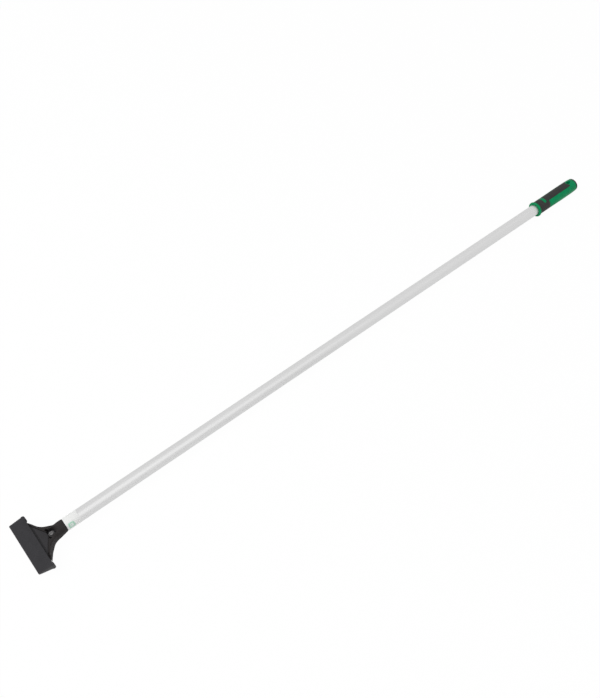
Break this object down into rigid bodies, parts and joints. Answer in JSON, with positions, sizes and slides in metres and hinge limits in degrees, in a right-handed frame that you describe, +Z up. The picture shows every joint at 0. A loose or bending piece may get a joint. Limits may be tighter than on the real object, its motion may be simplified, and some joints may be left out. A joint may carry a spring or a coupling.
{
  "type": "long-handled blade scraper",
  "caption": "Blade scraper on a long round tube: guarded steel blade clamped in a moulded fan-shaped head by a screw, with a flanged two-colour end grip that has a hang hole.",
  "frame": {"origin": "middle of the footprint, on the plane that the grip's flange touches", "axes": "+X along the tube from the blade to the grip, +Y across the blade, +Z up from the scraping side to the side of the clamp screw"},
  "size_m": [1.2944, 0.1024, 0.032],
  "materials": {
    "guard_plastic": "fine moulded grain, satin",
    "head_plastic": "moulded, satin",
    "clamp_plastic": "moulded, satin",
    "blade_steel": "ground",
    "plated_steel": "plated, bright",
    "tube_aluminium": "satin drawn tube",
    "label_film": "white film, satin",
    "green_plastic": "moulded, satin",
    "black_rubber": "soft overmould, matt"
  },
  "bodies": {
    "handle_and_head": {"head_body": "head_plastic", "clamp_nut": "plated_steel", "handle_tube": "tube_aluminium", "spigot_rivet": "tube_aluminium", "tube_label": "label_film", "grip_core": "green_plastic", "grip_skin": "black_rubber", "end_cap": "black_rubber"},
    "clamp": {"clamp_plate": "clamp_plastic", "clamp_washer": "plated_steel"},
    "screw": {"clamp_screw": "plated_steel"},
    "blade": {"blade": "blade_steel"},
    "guard": {"blade_guard": "guard_plastic"}
  },
  "joints": [
    {"name": "clamp_lift", "type": "slide", "parent": "handle_and_head", "child": "clamp", "axis": [0, 0, 1], "range_m": [0, 0.0007]},
    {"name": "screw_turn", "type": "hinge", "parent": "clamp", "child": "screw", "pos_m": [-0.60005, 0, 0.0188], "axis": [0, 0, 1], "range_deg": [0, 360]},
    {"name": "blade_slide", "type": "slide", "parent": "handle_and_head", "child": "blade", "axis": [-1, 0, 0], "range_m": [0, 0.03]},
    {"name": "guard_slide", "type": "slide", "parent": "blade", "child": "guard", "axis": [-1, 0, 0], "range_m": [0, 0.035]}
  ],
  "couplings": [
    {"joint": "screw_turn", "follows": "clamp_lift", "rad_per_m": 8976}
  ]
}
